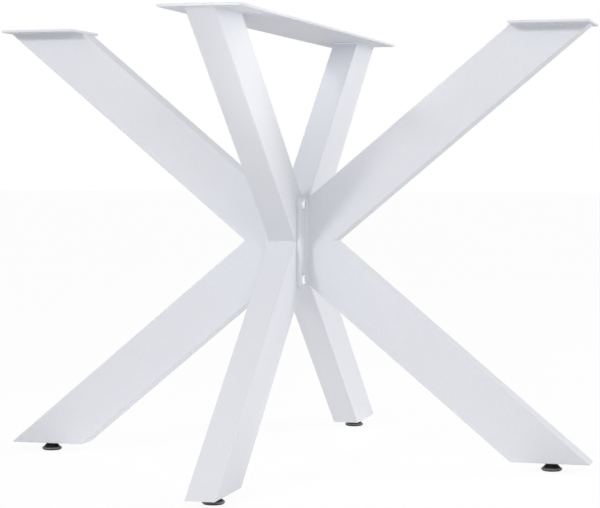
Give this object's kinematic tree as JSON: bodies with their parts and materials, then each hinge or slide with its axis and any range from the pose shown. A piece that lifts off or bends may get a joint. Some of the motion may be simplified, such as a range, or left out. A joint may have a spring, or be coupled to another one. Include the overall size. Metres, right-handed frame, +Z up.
{
  "type": "star table base",
  "caption": "Free-standing star-shaped table base of crossed rectangular tubes, with flat plates for a table top and levelling feet.",
  "frame": {"origin": "on the floor, under the middle of the crossing", "axes": "+Z up, Y along the long top plate, X along the two wings"},
  "size_m": [0.996, 0.996, 0.72],
  "materials": {
    "white_coat": "white fine-grained powder coat, satin",
    "zinc_screw": "bright zinc plate",
    "plain_steel": "plain turned steel",
    "black_glide": "moulded, satin black"
  },
  "bodies": {
    "frame": {"centre_through_tube": "white_coat", "centre_front_upper_arm": "white_coat", "centre_back_lower_arm": "white_coat", "long_top_plate": "white_coat", "left_wing_upper_arm": "white_coat", "left_wing_lower_arm": "white_coat", "left_wing_flange": "white_coat", "left_wing_top_plate": "white_coat", "left_flange_screw_1": "zinc_screw", "left_flange_screw_2": "zinc_screw", "left_flange_screw_3": "zinc_screw", "left_flange_screw_4": "zinc_screw", "right_wing_upper_arm": "white_coat", "right_wing_lower_arm": "white_coat", "right_wing_flange": "white_coat", "right_wing_top_plate": "white_coat", "right_flange_screw_1": "zinc_screw", "right_flange_screw_2": "zinc_screw", "right_flange_screw_3": "zinc_screw", "right_flange_screw_4": "zinc_screw", "threaded_sleeve_1": "plain_steel", "threaded_sleeve_2": "plain_steel", "threaded_sleeve_3": "plain_steel", "threaded_sleeve_4": "plain_steel", "front_end_plate": "white_coat", "front_weld_nut": "plain_steel", "back_end_plate": "white_coat", "back_weld_nut": "plain_steel", "left_end_plate": "white_coat", "left_weld_nut": "plain_steel", "right_end_plate": "white_coat", "right_weld_nut": "plain_steel"},
    "front_foot": {"front_foot_stud": "zinc_screw", "front_foot_glide": "black_glide"},
    "back_foot": {"back_foot_stud": "zinc_screw", "back_foot_glide": "black_glide"},
    "left_foot": {"left_foot_stud": "zinc_screw", "left_foot_glide": "black_glide"},
    "right_foot": {"right_foot_stud": "zinc_screw", "right_foot_glide": "black_glide"}
  },
  "joints": [
    {"name": "front_foot_screw", "type": "slide", "parent": "frame", "child": "front_foot", "axis": [0, 0, 1], "range_m": [-0.012, 0.003]},
    {"name": "back_foot_screw", "type": "slide", "parent": "frame", "child": "back_foot", "axis": [0, 0, 1], "range_m": [-0.012, 0.003]},
    {"name": "left_foot_screw", "type": "slide", "parent": "frame", "child": "left_foot", "axis": [0, 0, 1], "range_m": [-0.012, 0.003]},
    {"name": "right_foot_screw", "type": "slide", "parent": "frame", "child": "right_foot", "axis": [0, 0, 1], "range_m": [-0.012, 0.003]}
  ]
}
